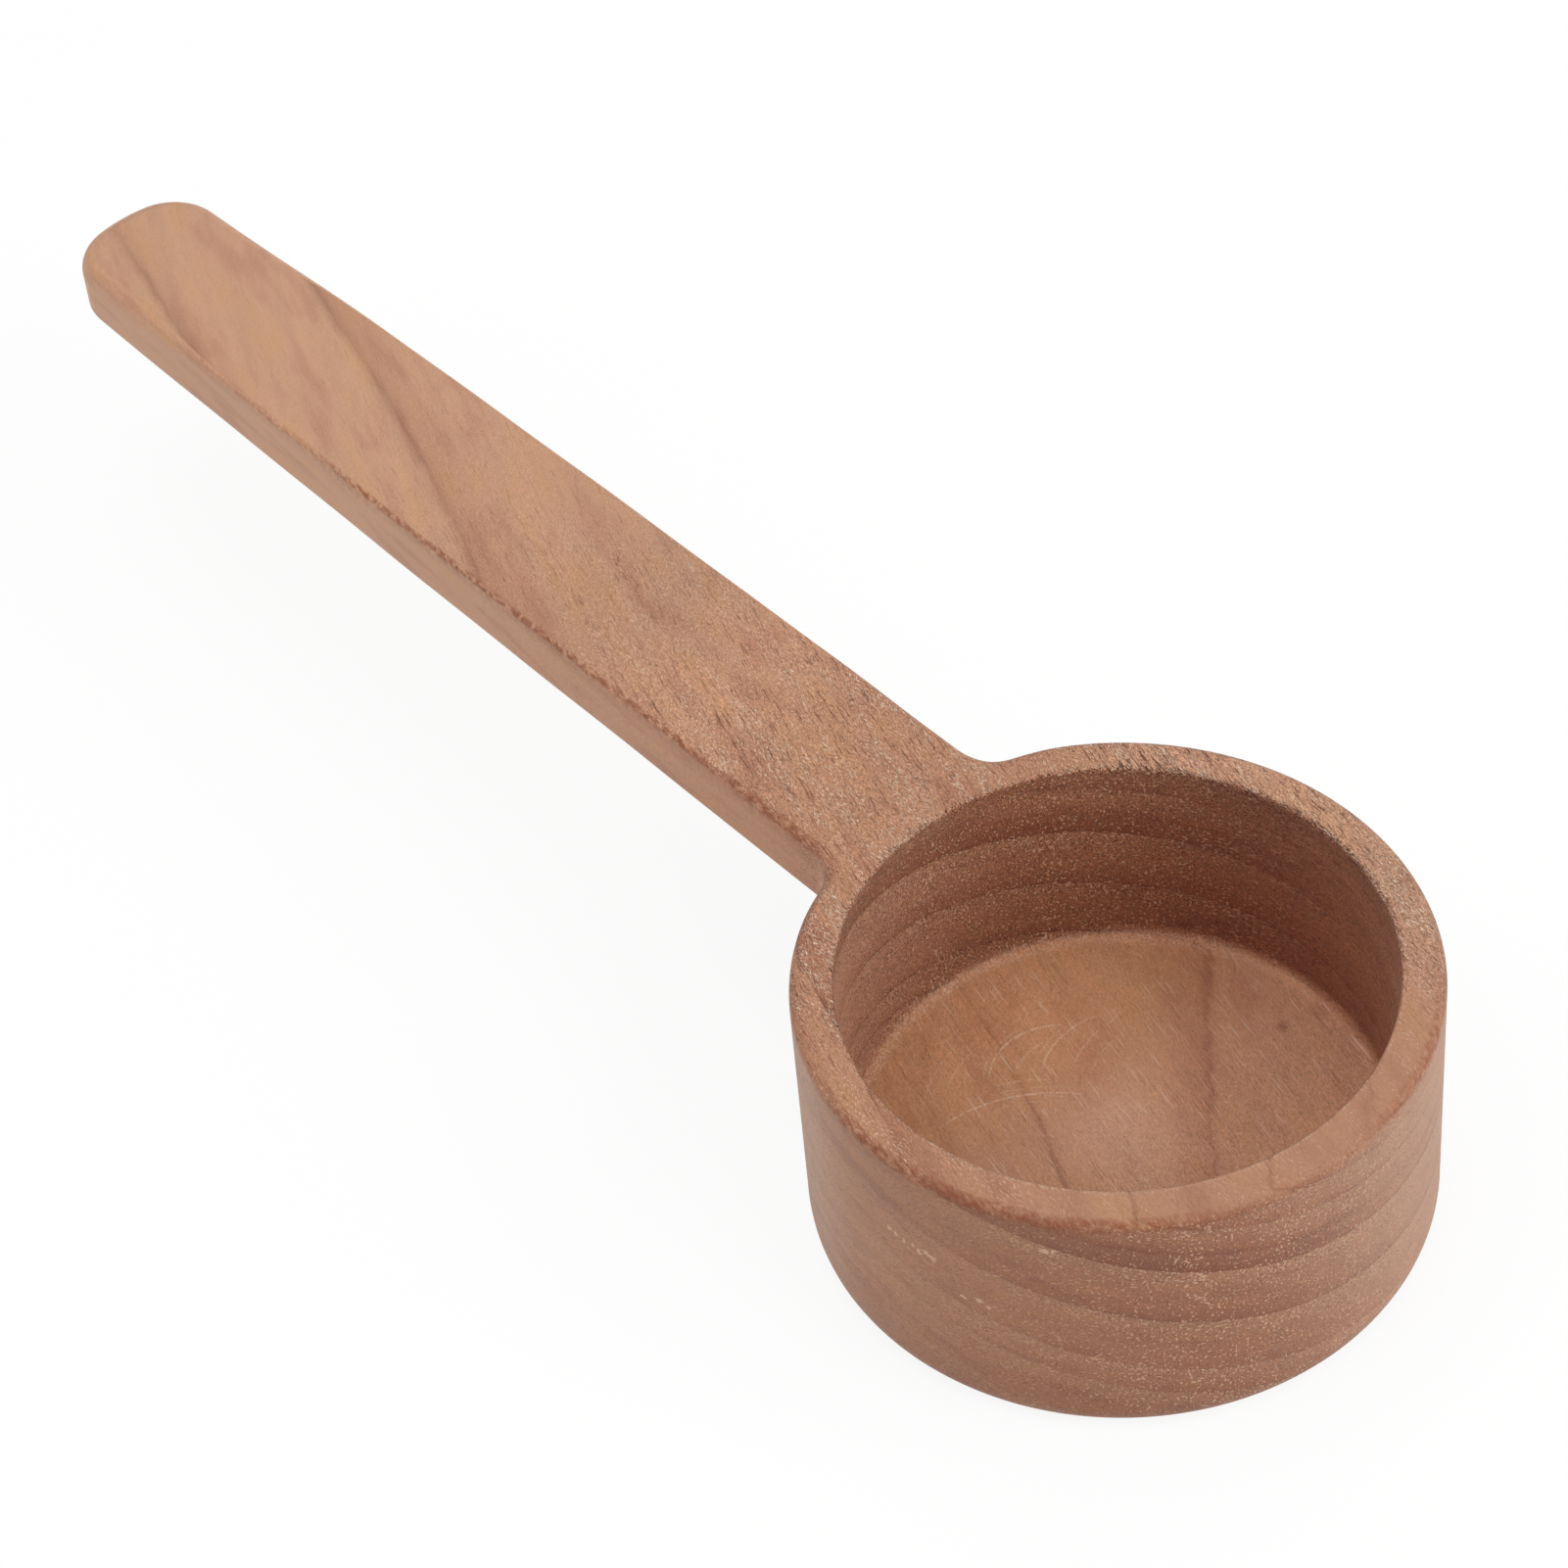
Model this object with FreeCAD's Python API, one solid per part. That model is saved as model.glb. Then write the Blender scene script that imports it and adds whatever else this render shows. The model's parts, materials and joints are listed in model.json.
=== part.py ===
"""Wooden measuring spoon, carved from one block.

A round, flat-bottomed cup carries a flat handle whose top is level with the rim.
The origin is the middle of the cup's underside, +Z is up and +X runs along the handle.
All sizes are in millimetres.
"""

import FreeCAD
import Part
import math
import os

from FreeCAD import Vector

# Cup
cup_diameter = 51.0
cup_height = 25.0
wall_thickness = 3.5
floor_thickness = 5.5
floor_corner_radius = 1.2
base_edge_radius = 2.5

# Handle
handle_reach = 109.5
handle_root_width = 16.0
handle_middle_width = 15.6
handle_end_width = 14.1
handle_thickness = 6.3
handle_end_bulge = 1.9
handle_corner_radius = 5.5

# Softened edges
root_radius = 4.0
under_edge_radius = 1.1
top_edge_radius = 0.7
mouth_edge_radius = 0.7

# Tolerance for picking out edges, and how far a cutter stands out of the wood that it cuts
pick_tolerance = 1e-4
cutter_overrun = 5.0

# Sizes that follow from the ones above
cup_radius = cup_diameter / 2
bore_radius = cup_radius - wall_thickness
handle_under = cup_height - handle_thickness
tip_x = cup_radius + handle_reach
side_end_x = tip_x - handle_end_bulge


def arc(start, through, end):
    """Edge of the circle through three points."""
    return Part.Arc(start, through, end).toShape()


def line(start, end):
    """Straight edge between two points."""
    return Part.makeLine(start, end)


def turned(edges):
    """Solid of revolution about the cup's axis, from a closed profile in the plane y = 0."""
    profile = Part.Face(Part.Wire(edges))
    return profile.revolve(Vector(0, 0, 0), Vector(0, 0, 1), 360)


def quarter_point(centre, radius, angle):
    """Point on a circle in the plane y = 0, at an angle in degrees from +X towards +Z."""
    turn = math.radians(angle)
    return centre + Vector(radius * math.cos(turn), 0, radius * math.sin(turn))


def cup_blank():
    """Solid cup before it is hollowed: a straight drum with a rounded foot."""
    foot_centre = Vector(base_edge_radius - cup_radius, 0, base_edge_radius)
    foot_inner = foot_centre - Vector(0, 0, base_edge_radius)
    foot_outer = foot_centre - Vector(base_edge_radius, 0, 0)
    rim_outer = Vector(-cup_radius, 0, cup_height)
    rim_centre = Vector(0, 0, cup_height)
    base_centre = Vector(0, 0, 0)
    return turned([
        line(base_centre, foot_inner),
        arc(foot_inner, quarter_point(foot_centre, base_edge_radius, 225), foot_outer),
        line(foot_outer, rim_outer),
        line(rim_outer, rim_centre),
        line(rim_centre, base_centre),
    ])


def handle_blank():
    """Flat handle from the cup's axis to the tip, with bowed sides, rounded corners and a soft underside."""
    near = [
        Vector(0, -handle_root_width / 2, handle_under),
        Vector((cup_radius + side_end_x) / 2, -handle_middle_width / 2, handle_under),
        Vector(side_end_x, -handle_end_width / 2, handle_under),
    ]
    far = [Vector(point.x, -point.y, point.z) for point in near]
    tip = Vector(tip_x, 0, handle_under)
    outline = Part.Wire([
        arc(near[0], near[1], near[2]),
        arc(near[2], tip, far[2]),
        arc(far[2], far[1], far[0]),
        line(far[0], near[0]),
    ])
    plate = Part.Face(outline).extrude(Vector(0, 0, handle_thickness))
    plate = plate.makeFillet(handle_corner_radius, upright_edges_at(plate, side_end_x))
    return plate.makeFillet(under_edge_radius, under_edges(plate))


def upright_edges_at(solid, x):
    """Upright edges of a solid at one place along the handle."""
    def is_there(edge):
        ends = [vertex.Point for vertex in edge.Vertexes]
        upright = abs(ends[0].z - ends[-1].z) > pick_tolerance
        return upright and all(abs(point.x - x) < pick_tolerance for point in ends)
    return [edge for edge in solid.Edges if is_there(edge)]


def under_edges(plate):
    """Edges around the handle's underside, without the end that is buried in the cup."""
    def is_there(edge):
        box = edge.BoundBox
        return abs(box.ZMax - handle_under) < pick_tolerance and box.XMax > pick_tolerance
    return [edge for edge in plate.Edges if is_there(edge)]


def root_edges(solid):
    """Edges where the handle's sides and underside leave the cup's outer wall."""
    def is_there(edge):
        points = edge.discretize(5)
        on_wall = all(abs(math.hypot(point.x, point.y) - cup_radius) < pick_tolerance for point in points)
        below_rim = points[2].z < cup_height - pick_tolerance
        above_foot = points[2].z > handle_under - pick_tolerance
        return on_wall and below_rim and above_foot
    return [edge for edge in solid.Edges if is_there(edge)]


def root_relief():
    """Cutter that squares the corner under the handle: a ring around the cup's wall, up to the underside."""
    reach = cup_radius + root_radius + cutter_overrun
    return Part.makeCylinder(reach, handle_under).cut(Part.makeCylinder(cup_radius, handle_under))


def cup_bore():
    """Cutter for the inside of the cup: a straight bore with a small hollow curve around its floor."""
    corner_centre = Vector(bore_radius - floor_corner_radius, 0, floor_thickness + floor_corner_radius)
    corner_floor = corner_centre - Vector(0, 0, floor_corner_radius)
    corner_wall = corner_centre + Vector(floor_corner_radius, 0, 0)
    floor_centre = Vector(0, 0, floor_thickness)
    top_centre = Vector(0, 0, cup_height + cutter_overrun)
    top_outer = Vector(bore_radius, 0, cup_height + cutter_overrun)
    return turned([
        line(floor_centre, corner_floor),
        arc(corner_floor, quarter_point(corner_centre, floor_corner_radius, -45), corner_wall),
        line(corner_wall, top_outer),
        line(top_outer, top_centre),
        line(top_centre, floor_centre),
    ])


def top_edges(solid, at_mouth):
    """Edges in the plane of the rim: the mouth of the cup, or else the outline around cup and handle."""
    def is_there(edge):
        middle = edge.discretize(3)[1]
        level = edge.BoundBox.ZMin > cup_height - pick_tolerance
        on_bore = abs(math.hypot(middle.x, middle.y) - bore_radius) < pick_tolerance
        return level and on_bore == at_mouth
    return [edge for edge in solid.Edges if is_there(edge)]


def scoop():
    """The whole spoon: cup and handle in one piece, hollowed, with every edge softened."""
    block = cup_blank().fuse(handle_blank()).removeSplitter()
    block = block.makeFillet(root_radius, root_edges(block))
    block = block.cut(root_relief()).removeSplitter()
    hollowed = block.cut(cup_bore())
    softened = hollowed.makeFillet(top_edge_radius, top_edges(hollowed, at_mouth=False))
    return softened.makeFillet(mouth_edge_radius, top_edges(softened, at_mouth=True))


def main():
    """Builds the spoon and writes it as its one piece."""
    os.makedirs("parts", exist_ok=True)
    scoop().exportStep("parts/scoop.step")


main()
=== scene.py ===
"""Looks of a wooden measuring spoon, carved from one block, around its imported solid.

The frame is the solid's own: the origin is the middle of the cup's underside, +Z is up
and +X runs along the handle. Lengths here are millimetres until a mesh or a lamp is made.
"""

import bpy
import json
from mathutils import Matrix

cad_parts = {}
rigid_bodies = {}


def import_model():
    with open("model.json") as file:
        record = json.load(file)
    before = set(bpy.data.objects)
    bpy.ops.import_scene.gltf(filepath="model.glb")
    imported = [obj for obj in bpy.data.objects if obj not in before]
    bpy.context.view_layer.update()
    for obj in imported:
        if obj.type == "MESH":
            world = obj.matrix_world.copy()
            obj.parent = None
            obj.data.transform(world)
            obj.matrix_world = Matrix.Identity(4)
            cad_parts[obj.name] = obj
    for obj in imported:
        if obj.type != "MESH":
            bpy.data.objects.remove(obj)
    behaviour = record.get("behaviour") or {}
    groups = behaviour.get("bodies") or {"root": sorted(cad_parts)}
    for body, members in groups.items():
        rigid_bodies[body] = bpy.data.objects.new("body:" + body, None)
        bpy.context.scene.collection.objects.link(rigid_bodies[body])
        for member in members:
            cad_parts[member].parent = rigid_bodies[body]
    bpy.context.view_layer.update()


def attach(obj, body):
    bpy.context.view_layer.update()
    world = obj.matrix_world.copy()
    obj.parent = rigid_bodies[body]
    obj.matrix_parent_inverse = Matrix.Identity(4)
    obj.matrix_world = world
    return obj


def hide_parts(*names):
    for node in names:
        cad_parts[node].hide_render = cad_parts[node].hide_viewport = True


bpy.data.batch_remove(list(bpy.data.objects))
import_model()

import json
import logging
from dataclasses import dataclass, replace
from enum import Enum

import bmesh
import numpy as np
from mathutils import Matrix, Vector

Array = np.ndarray
Socket = bpy.types.NodeSocket
Span = tuple[float, float]
Triple = tuple[float, float, float]
Colour = Triple
MM = 0.001
PHOTO_SIDE = 1601
log = logging.getLogger("scoop")


def linear(red: float, green: float, blue: float) -> tuple[float, float, float, float]:
    """Turns a colour as it shows on screen into the light it stands for.

    Args:
        red, green, blue: screen values from 0 to 255.

    Returns:
        Linear red, green and blue from 0 to 1, and a full alpha.
    """
    shown = np.array([red, green, blue]) / 255
    light = np.where(shown <= 0.04045, shown / 12.92, ((shown + 0.055) / 1.055) ** 2.4)
    return (*map(float, light), 1.0)


def smooth_step(value: Array, low: float, high: float) -> Array:
    """Rises from 0 at low to 1 at high along the curve 3t^2 - 2t^3."""
    t = np.clip((value - low) / (high - low), 0, 1)
    return t * t * (3 - 2 * t)


def humps(value: Array, bells: tuple[Triple, ...]) -> Array:
    """Sum of bell curves h * exp(-((v - p) / w)^2), each given by its place p, width w and height h."""
    return sum(height * np.exp(-(((value - place) / width) ** 2)) for place, width, height in bells)


def rays(turns: Array) -> Array:
    """Unit directions in plan at the given angles: (cos a, sin a)."""
    return np.stack([np.cos(turns), np.sin(turns)], -1)


# Plan outline


@dataclass(frozen=True)
class Circle:
    """A circle in plan.

    Attributes:
        x, y: its centre.
        radius: its radius.
    """

    x: float
    y: float
    radius: float

    @classmethod
    def through(cls, a: Array, b: Array, c: Array) -> "Circle":
        """The circle through three points: its centre is as far from a as from b and from c.

        Args:
            a, b, c: points in plan.

        Returns:
            The circle.
        """
        rows = 2 * np.array([b - a, c - a])
        sums = np.array([b @ b - a @ a, c @ c - a @ a])
        centre = np.linalg.solve(rows, sums)
        return cls(centre[0], centre[1], float(np.linalg.norm(a - centre)))

    def crossing(self, other: "Circle", near: Array) -> Array:
        """The point where two circles cross, nearest to a given point.

        It lies along the line of centres by (d^2 + r^2 - s^2) / 2d, and off it by what is left of r.

        Args:
            other: the second circle.
            near: a point close to the wanted crossing.

        Returns:
            The crossing.
        """
        here, there = np.array([self.x, self.y]), np.array([other.x, other.y])
        gap = np.linalg.norm(there - here)
        along = (there - here) / gap
        reach = (gap**2 + self.radius**2 - other.radius**2) / (2 * gap)
        off = np.sqrt(self.radius**2 - reach**2) * np.array([-along[1], along[0]])
        both = here + reach * along + np.array([off, -off])
        return both[np.argmin(np.linalg.norm(both - near, axis=1))]

    def grown(self, by: float) -> "Circle":
        """The circle with the same centre and a larger radius."""
        return Circle(self.x, self.y, self.radius + by)

    def turn_of(self, point: Array) -> float:
        """Angle of a point about the centre, in radians."""
        return float(np.arctan2(point[1] - self.y, point[0] - self.x))

    def points(self, turns: Array) -> Array:
        """Points of the circle at the given angles."""
        return np.array([self.x, self.y]) + self.radius * rays(turns)


@dataclass(frozen=True)
class Run:
    """Points along an outline, with the direction that looks away from the wood at each.

    Attributes:
        point: places in plan, one row each.
        away: unit outward directions, one row each.
    """

    point: Array
    away: Array

    @classmethod
    def along(cls, circle: Circle, start: float, end: float, count: int, hollow: bool = False) -> "Run":
        """Evenly spaced points of a circle: centre + radius * (cos a, sin a), a from start to end.

        Args:
            circle: the circle to follow.
            start, end: first and last angle, in radians.
            count: number of points.
            hollow: whether the wood lies outside the circle.

        Returns:
            The run.
        """
        turns = np.linspace(start, end, count)
        away = rays(turns)
        return cls(circle.points(turns), -away if hollow else away)

    def then(self, other: "Run") -> "Run":
        """This run followed by another that starts at its last point."""
        return Run(np.vstack([self.point, other.point[1:]]), np.vstack([self.away, other.away[1:]]))

    def mirrored(self) -> "Run":
        """The run on the other side of the handle's middle line, in the opposite order."""
        flip = np.array([1.0, -1.0])
        return Run(self.point[::-1] * flip, self.away[::-1] * flip)


# Mesh making


@dataclass(frozen=True)
class Sheet:
    """Part of a skin: a grid of points, and how burnished each is.

    Attributes:
        points: grid of places, lines by steps by 3.
        burnish: grid of values from 0 to 1, lines by steps.
        closed: whether the last line joins the first.
    """

    points: Array
    burnish: Array
    closed: bool

    def quads(self, first: int) -> Array:
        """Corner numbers of the faces between neighbouring lines and steps, looking out of the wood.

        Args:
            first: number of the sheet's first point.

        Returns:
            Four corner numbers in each row.
        """
        lines, steps = self.burnish.shape
        number = first + np.arange(lines * steps).reshape(lines, steps)
        after = np.roll(number, -1, axis=0) if self.closed else number[1:]
        before = number if self.closed else number[:-1]
        corners = [before[:, :-1], before[:, 1:], after[:, 1:], after[:, :-1]]
        return np.stack(corners, -1).reshape(-1, 4)


def skin(name: str, sheets: list[Sheet]) -> bpy.types.Object:
    """Joins sheets into one closed mesh, welding the points that they share.

    Args:
        name: name of the piece.
        sheets: the grids that make up the skin.

    Returns:
        The piece, at the origin.
    """
    points = np.concatenate([sheet.points.reshape(-1, 3) for sheet in sheets]) * MM
    burnish = np.concatenate([sheet.burnish.ravel() for sheet in sheets])
    firsts = np.cumsum([0] + [sheet.burnish.size for sheet in sheets])
    quads = np.concatenate([sheet.quads(first) for sheet, first in zip(sheets, firsts)])
    mesh = bpy.data.meshes.new(name)
    mesh.vertices.add(len(points))
    mesh.vertices.foreach_set("co", points.ravel())
    mesh.loops.add(quads.size)
    mesh.loops.foreach_set("vertex_index", quads.ravel())
    mesh.polygons.add(len(quads))
    mesh.polygons.foreach_set("loop_start", np.arange(0, quads.size, 4))
    mesh.polygons.foreach_set("use_smooth", np.ones(len(quads), bool))
    mesh.update(calc_edges=True)
    mesh.attributes.new("burnish", "FLOAT", "POINT").data.foreach_set("value", burnish)
    weld(mesh)
    piece = bpy.data.objects.new(name, mesh)
    bpy.context.scene.collection.objects.link(piece)
    return piece


def weld(mesh: bpy.types.Mesh, gap: float = 2e-4 * MM) -> None:
    """Merges points that coincide and turns every face outwards.

    Args:
        mesh: the mesh to close.
        gap: farthest apart that two points still count as one, in metres.
    """
    body = bmesh.new()
    body.from_mesh(mesh)
    bmesh.ops.remove_doubles(body, verts=body.verts, dist=gap)
    bmesh.ops.recalc_face_normals(body, faces=body.faces)
    body.to_mesh(mesh)
    body.free()


def quarter(count: int) -> tuple[Array, Array]:
    """Steps of a quarter turn after its start.

    Args:
        count: number of steps.

    Returns:
        Sine and cosine of each step's angle, up to a right angle.
    """
    turns = np.linspace(0, np.pi / 2, count + 1)[1:]
    return np.sin(turns), np.cos(turns)


def eased(count: int) -> Array:
    """Steps from 0 to 1, close together at both ends, so that flats stay flat up to their edges."""
    return np.concatenate([[0.03], np.linspace(0.1, 0.9, count), [0.97, 1.0]])


@dataclass
class Scoop:
    """The spoon: a round cup and a flat handle in one piece of wood.

    Attributes:
        The sizes are those of the solid, in millimetres, apart from the softened edges. The top edge has a
        radius each for the rim, the inner corners at the root, the handle and its tip. It changes along
        root_edge, a place and a width, and along rim_to_handle and handle_to_tip, two spans of x. The
        mouth's edge is crisper than the solid's, and the hollow of under_root_radius isn't in the solid.
        neck_x: where the mesh of the cup ends.
        spine_end_x: where the lines of the handle's end meet.
        sag: how far the sanded surfaces dip from true.
        handle_wear, rim_wear, mouth_wear: place, width and strength of each burnished stretch, by x along
            the handle's +Y edge, and by degrees round the rim and the mouth.
        least_edge_wear, least_mouth_wear: burnish that the edges have between those stretches.
        neck_steps to side_steps: number of points along each stretch of the outline.
    """

    cup_radius: float = 25.5
    cup_height: float = 25.0
    bore_radius: float = 22.0
    floor_thickness: float = 5.5
    floor_corner_radius: float = 1.2
    base_edge_radius: float = 2.5
    tip_x: float = 135.0
    handle_half_widths: tuple[float, float, float] = (8.0, 7.8, 7.05)
    handle_thickness: float = 6.3
    handle_end_bulge: float = 1.9
    handle_corner_radius: float = 5.5
    root_radius: float = 4.0
    under_root_radius: float = 0.4
    under_edge_radius: float = 1.1
    rim_edge_radius: float = 0.85
    root_edge_radius: float = 1.3
    handle_edge_radius: float = 0.45
    tip_edge_radius: float = 1.9
    mouth_edge_radius: float = 0.22
    root_edge: Span = (23.9, 1.5)
    rim_to_handle: Span = (31.0, 42.0)
    handle_to_tip: Span = (102.0, 131.0)
    neck_x: float = 31.0
    spine_end_x: float = 126.0
    sag: float = 0.07
    handle_wear: tuple[Triple, ...] = (
        (34.0, 13.0, 1.0), (54.0, 11.0, 0.9), (71.0, 9.0, 1.0), (87.0, 8.0, 0.85), (102.0, 7.0, 0.3))
    rim_wear: tuple[Triple, ...] = ((100.0, 25.0, 1.15), (138.0, 18.0, 0.6), (207.0, 20.0, 0.6))
    mouth_wear: tuple[Triple, ...] = ((40.0, 30.0, 0.5),)
    least_edge_wear: float = 0.12
    least_mouth_wear: float = 0.3
    neck_steps: int = 8
    root_steps: int = 22
    cup_steps: int = 150
    end_steps: int = 8
    corner_steps: int = 30
    side_steps: int = 120

    # Outline

    def side_circle(self) -> Circle:
        """Circle that the handle's +Y side follows, through its root, middle and end widths."""
        side_end = self.tip_x - self.handle_end_bulge
        root, middle, end = self.handle_half_widths
        spots = [(0.0, root), ((self.cup_radius + side_end) / 2, middle), (side_end, end)]
        return Circle.through(*map(np.array, spots))

    def end_circle(self) -> Circle:
        """Circle that the handle's end follows, through both ends of its sides and the tip."""
        side_end, half = self.tip_x - self.handle_end_bulge, self.handle_half_widths[2]
        return Circle.through(*map(np.array, [(side_end, half), (self.tip_x, 0.0), (side_end, -half)]))

    def neck_turn(self, side: Circle) -> float:
        """Angle about the centre of a side's circle at which the neck lies."""
        return np.arccos((self.neck_x - side.x) / side.radius)

    def cup_run(self) -> Run:
        """Outline of the cup from the neck on the +Y side, round the back, to the neck on the -Y side.

        It is the side's circle to the root, the root's hollow circle, and the cup's circle.

        Returns:
            The run.
        """
        side, cup = self.side_circle(), Circle(0, 0, self.cup_radius)
        by_root = np.array([27.0, 12.0])
        hub = cup.grown(self.root_radius).crossing(side.grown(self.root_radius), by_root)
        root = Circle(hub[0], hub[1], self.root_radius)
        on_side, on_cup = side.turn_of(hub), cup.turn_of(hub)
        near = Run.along(side, self.neck_turn(side), on_side, self.neck_steps)
        near = near.then(Run.along(root, on_side - np.pi, on_cup - np.pi, self.root_steps, hollow=True))
        near = near.then(Run.along(cup, on_cup, np.pi, self.cup_steps))
        return near.then(near.mirrored())

    def handle_run(self) -> Run:
        """Outline of the handle from the neck on the -Y side, round the tip, to the neck on the +Y side.

        It is the end's circle, the rounded corner and the side's circle, and the same mirrored.

        Returns:
            The run.
        """
        side, end = self.side_circle(), self.end_circle()
        by_corner, radius = np.array([self.tip_x - 7.0, 2.0]), self.handle_corner_radius
        hub = side.grown(-radius).crossing(end.grown(-radius), by_corner)
        corner = Circle(hub[0], hub[1], radius)
        on_end, on_side = end.turn_of(hub), side.turn_of(hub)
        far = Run.along(end, 0, on_end, self.end_steps)
        far = far.then(Run.along(corner, on_end, on_side, self.corner_steps))
        far = far.then(Run.along(side, on_side, self.neck_turn(side), self.side_steps))
        return far.mirrored().then(far)

    # Skin

    def edge_radius(self, run: Run) -> Array:
        """Radius of the top edge at each point of a run.

        It goes smoothly from the rim's value to the handle's and on to the tip's, with a soft hump
        in the inner corners at the root.

        Args:
            run: the outline.

        Returns:
            The radii.
        """
        x = run.point[:, 0]
        rim, handle = self.rim_edge_radius, self.handle_edge_radius
        radius = rim + (handle - rim) * smooth_step(x, *self.rim_to_handle)
        radius += (self.tip_edge_radius - handle) * smooth_step(x, *self.handle_to_tip)
        return radius + humps(x, ((*self.root_edge, self.root_edge_radius - rim),))

    def edge_burnish(self, run: Run) -> Array:
        """How much the top edge is rubbed brown along a run.

        It is a sum of soft humps along the handle's +Y edge and round the front of the cup, over a low
        level.

        Args:
            run: the outline.

        Returns:
            A value from 0 to 1 for each point.
        """
        x, y = run.point.T
        handle = smooth_step(y, 2.0, 6.0) * humps(x, self.handle_wear)
        front = humps(np.degrees(np.arctan2(y, x)) % 360, self.rim_wear)
        on_handle = smooth_step(x, 22.0, 27.0)
        return np.clip(self.least_edge_wear + on_handle * handle + (1 - on_handle) * front, 0, 1)

    def edge_sheet(self, run: Run, under: Array) -> Sheet:
        """Skin from the top's rim over its rounded edge, down the side and round the lower edge.

        Each line is a quarter circle of the top edge's radius, a straight drop, and a quarter ellipse
        that is under[i] wide and as tall as the lower edge's radius.

        Args:
            run: the outline.
            under: how far the lower edge turns in at each point.

        Returns:
            The sheet.
        """
        radius = self.edge_radius(run)[:, None]
        top, low = self.cup_height, self.cup_height - self.handle_thickness
        turns = np.linspace(0, np.pi / 2, 11)
        inset = [radius * (1 - np.sin(turns))]
        height = [top - radius * (1 - np.cos(turns))]
        drop = np.linspace(0, 1, 9)[1:]
        side_low = low + self.under_edge_radius
        inset.append(np.zeros((len(radius), len(drop))))
        height.append(top - radius + (side_low - top + radius) * drop)
        sine, cosine = quarter(7)
        inset.append(under[:, None] * (1 - cosine))
        level = self.level_share(under)[:, None]
        height.append(side_low - (self.under_edge_radius - level) * sine)
        inset, height = np.hstack(inset), np.hstack(height)
        plan = run.point[:, None] - run.away[:, None] * inset[..., None]
        burnish = np.zeros_like(height)
        burnish[:, :13] = np.interp(np.arange(13), [0, 2, 5, 9, 12], [0.3, 0.8, 1.0, 0.7, 0.0])
        return Sheet(np.dstack([plan, height]), burnish * self.edge_burnish(run)[:, None], False)

    def level_share(self, under: Array) -> Array:
        """Half the height given to the level stretch under the handle where it is too narrow to be level."""
        return 0.15 * (1 - under / self.under_edge_radius)

    def inner_lines(self, turns: Array, rim: Array) -> Sheet:
        """Inside of the cup and the top, on lines from the middle of the floor to the rim.

        In section a line is the floor's radius, a hollow quarter circle, the upright bore,
        the rounded mouth, and a straight run over the top to its point of the rim.

        Args:
            turns: angle of each line about the cup's axis.
            rim: where each line ends, in plan.

        Returns:
            The sheet.
        """
        corner, mouth = self.floor_corner_radius, self.mouth_edge_radius
        flat = (self.bore_radius - corner) * np.concatenate([[0.0], eased(13)])
        sine, cosine = quarter(9)
        wall = np.linspace(self.floor_thickness + corner, self.cup_height - mouth, 26)[1:]
        radius = np.concatenate([
            flat,
            self.bore_radius - corner + corner * sine,
            np.full(len(wall), self.bore_radius),
            self.bore_radius + mouth * (1 - cosine)])
        height = np.concatenate([
            np.full(len(flat), self.floor_thickness),
            self.floor_thickness + corner * (1 - cosine),
            wall,
            self.cup_height - mouth + mouth * sine])
        plan = rays(turns)[:, None] * radius[None, :, None]
        share = eased(7)[None, :, None]
        over = plan[:, -1:] + (rim[:, None] - plan[:, -1:]) * share
        height = np.concatenate([height, np.full(share.size, self.cup_height)])
        plan = np.concatenate([plan, over], axis=1)
        burnish = np.zeros(len(height))
        first = len(flat) + len(sine) + len(wall)
        burnish[first - 1:first + 10] = np.interp(np.arange(11), [0, 5, 10], [0.0, 1.0, 0.0])
        worn = self.least_mouth_wear + humps(np.degrees(turns) % 360, self.mouth_wear)
        tall = np.broadcast_to(height, plan.shape[:2])
        return Sheet(np.dstack([plan, tall]), burnish[None] * worn[:, None], True)

    def lower_lines(self, turns: Array, start: Array, under: Array) -> Sheet:
        """Underside of the root, the cup's outer wall, its foot and its base, on lines to the base's middle.

        In section a line is a level stretch under the handle, a hollow quarter ellipse into the wall,
        the upright wall, the rounded foot and the flat base.

        Args:
            turns: angle at which each line meets the cup's wall.
            start: where each line leaves the handle's lower edge, in plan.
            under: how far that lower edge turned in, at most its radius.

        Returns:
            The sheet.
        """
        low = self.cup_height - self.handle_thickness
        ray = rays(turns)
        hollow = (self.under_root_radius / self.under_edge_radius) * under[:, None]
        level = self.level_share(under)[:, None]
        share = np.concatenate([[0.0], eased(3)])
        foot_of_level = ray * (self.cup_radius + hollow)
        flat = start[:, None] + (foot_of_level - start)[:, None] * share[None, :, None]
        flat_height = low + level * (1 - 2 * share[None])
        sine, cosine = quarter(10)
        bend = self.cup_radius + hollow * (1 - sine)
        bend_height = low - level - (self.under_root_radius - level) * (1 - cosine)
        foot = self.base_edge_radius
        wall = np.linspace(low - self.under_root_radius, foot, 23)[1:]
        base = (self.cup_radius - foot) * (1 - eased(12))
        radius = np.concatenate([
            np.full(len(wall), self.cup_radius), self.cup_radius - foot + foot * cosine, base])
        height = np.concatenate([wall, foot - foot * sine, np.zeros(len(base))])
        lines = len(turns)
        outer = np.hstack([bend, np.broadcast_to(radius, (lines, len(radius)))])
        plan = np.concatenate([flat, ray[:, None] * outer[..., None]], axis=1)
        tall = np.hstack([flat_height, bend_height, np.broadcast_to(height, (lines, len(height)))])
        return Sheet(np.dstack([plan, tall]), np.zeros(tall.shape), True)

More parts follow.
